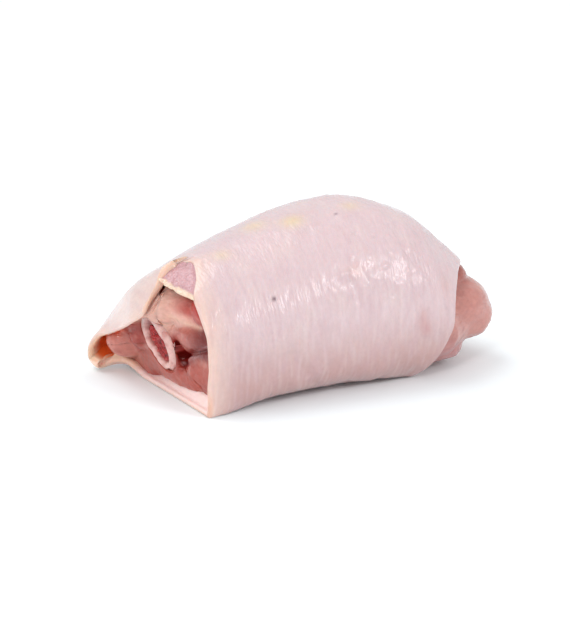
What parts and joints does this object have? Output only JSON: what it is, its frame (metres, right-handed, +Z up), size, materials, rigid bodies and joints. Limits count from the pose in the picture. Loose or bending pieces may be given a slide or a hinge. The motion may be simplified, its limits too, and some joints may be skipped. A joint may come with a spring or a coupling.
{
  "type": "raw chicken thigh",
  "caption": "Raw bone-in, skin-on chicken thigh on its side: a loose skin tube round the meat, with the muscles, the cut bone and its marrow showing at the open end.",
  "frame": {"origin": "middle of the bounding box, on the surface the piece lies on", "axes": "+X from the open end towards the knee, +Z up, -Y the side that faces the viewer"},
  "size_m": [0.1132, 0.061, 0.05],
  "materials": {
    "skin": "wet, pale pinkish mauve skin with fine wrinkles and cream cut edges",
    "meat": "wet raw muscle, salmon to terracotta, with pale membranes",
    "bone": "moist pinkish white cut bone",
    "marrow": "spongy red marrow",
    "membrane": "thin shiny mauve film with a cream fat edge"
  },
  "bodies": {
    "root": {"skin": "skin", "meat": "meat", "bone": "bone", "marrow": "marrow", "membrane": "membrane"}
  },
  "joints": []
}
